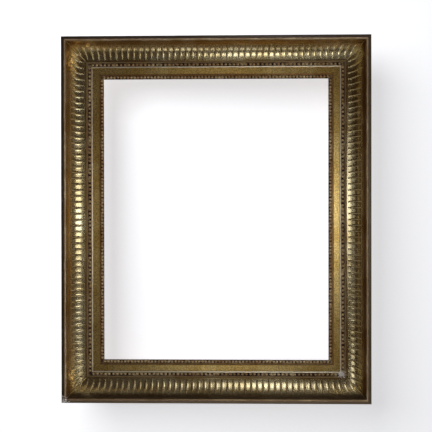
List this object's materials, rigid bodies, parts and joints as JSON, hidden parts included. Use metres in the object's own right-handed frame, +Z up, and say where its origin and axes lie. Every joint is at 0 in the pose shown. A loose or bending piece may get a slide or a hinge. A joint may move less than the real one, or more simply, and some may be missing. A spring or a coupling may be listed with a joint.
{
  "type": "fluted cove picture frame",
  "caption": "Upright gilded picture frame with a deep fluted cove, two pearl courses and a flat frieze, a rebate with turn buttons and ring hangers on the back.",
  "frame": {"origin": "middle of the frame's flat back, on the wall plane", "axes": "+Z up the frame's long side, -Y out of the wall towards the viewer, +X to the viewer's right"},
  "size_m": [0.546, 0.0613, 0.648],
  "materials": {
    "pine": "aged bare pine",
    "key_wood": "bare hardwood",
    "rim_gilding": "old gilding on gesso, rubbed to red clay, dark at the side",
    "cove_gilding": "old burnished gilding on gesso",
    "flute_gilding": "old burnished gilding on gesso",
    "frieze_gilding": "old matt gilding on gesso",
    "pearl_gilding": "old gilding on moulded composition",
    "hanger_brass": "dull brass plate",
    "ring_brass": "dull brass plate",
    "button_brass": "dull brass",
    "screw_steel": "old steel"
  },
  "bodies": {
    "frame": {"back_frame_top": "pine", "back_frame_bottom": "pine", "back_frame_left": "pine", "back_frame_right": "pine", "outer_moulding_top": "rim_gilding", "outer_moulding_bottom": "rim_gilding", "outer_moulding_left": "rim_gilding", "outer_moulding_right": "rim_gilding", "cove_top": "cove_gilding", "cove_bottom": "cove_gilding", "cove_left": "cove_gilding", "cove_right": "cove_gilding", "flute_strip_top": "flute_gilding", "flute_strip_bottom": "flute_gilding", "flute_strip_left": "flute_gilding", "flute_strip_right": "flute_gilding", "sight_moulding_top": "frieze_gilding", "sight_moulding_bottom": "frieze_gilding", "sight_moulding_left": "frieze_gilding", "sight_moulding_right": "frieze_gilding", "outer_pearls_top": "pearl_gilding", "outer_pearls_bottom": "pearl_gilding", "outer_pearls_left": "pearl_gilding", "outer_pearls_right": "pearl_gilding", "sight_pearls_top": "pearl_gilding", "sight_pearls_bottom": "pearl_gilding", "sight_pearls_left": "pearl_gilding", "sight_pearls_right": "pearl_gilding", "corner_key_top_left": "key_wood", "corner_key_top_right": "key_wood", "corner_key_bottom_left": "key_wood", "corner_key_bottom_right": "key_wood", "hanger_strap_left": "hanger_brass", "hanger_strap_right": "hanger_brass", "hanger_screws": "screw_steel", "turn_button_screws": "screw_steel"},
    "hanger_ring_left": {"hanger_ring_left": "ring_brass"},
    "hanger_ring_right": {"hanger_ring_right": "ring_brass"},
    "turn_button_left_upper": {"turn_button_left_upper": "button_brass"},
    "turn_button_left_lower": {"turn_button_left_lower": "button_brass"},
    "turn_button_right_upper": {"turn_button_right_upper": "button_brass"},
    "turn_button_right_lower": {"turn_button_right_lower": "button_brass"},
    "turn_button_top": {"turn_button_top": "button_brass"},
    "turn_button_bottom": {"turn_button_bottom": "button_brass"}
  },
  "joints": [
    {"name": "hanger_ring_left_swing", "type": "hinge", "parent": "frame", "child": "hanger_ring_left", "pos_m": [-0.2264, 0.00216, 0.164], "axis": [0, 0, 1], "range_deg": [0, 160]},
    {"name": "hanger_ring_right_swing", "type": "hinge", "parent": "frame", "child": "hanger_ring_right", "pos_m": [0.2264, 0.00216, 0.164], "axis": [0, 0, -1], "range_deg": [0, 160]},
    {"name": "turn_button_left_upper_turn", "type": "hinge", "parent": "frame", "child": "turn_button_left_upper", "pos_m": [-0.217, 0, 0.11], "axis": [0, 1, 0], "continuous": true},
    {"name": "turn_button_left_lower_turn", "type": "hinge", "parent": "frame", "child": "turn_button_left_lower", "pos_m": [-0.217, 0, -0.11], "axis": [0, 1, 0], "continuous": true},
    {"name": "turn_button_right_upper_turn", "type": "hinge", "parent": "frame", "child": "turn_button_right_upper", "pos_m": [0.217, 0, 0.11], "axis": [0, 1, 0], "continuous": true},
    {"name": "turn_button_right_lower_turn", "type": "hinge", "parent": "frame", "child": "turn_button_right_lower", "pos_m": [0.217, 0, -0.11], "axis": [0, 1, 0], "continuous": true},
    {"name": "turn_button_top_turn", "type": "hinge", "parent": "frame", "child": "turn_button_top", "pos_m": [0, 0, 0.268], "axis": [0, 1, 0], "continuous": true},
    {"name": "turn_button_bottom_turn", "type": "hinge", "parent": "frame", "child": "turn_button_bottom", "pos_m": [0, 0, -0.268], "axis": [0, 1, 0], "continuous": true}
  ]
}
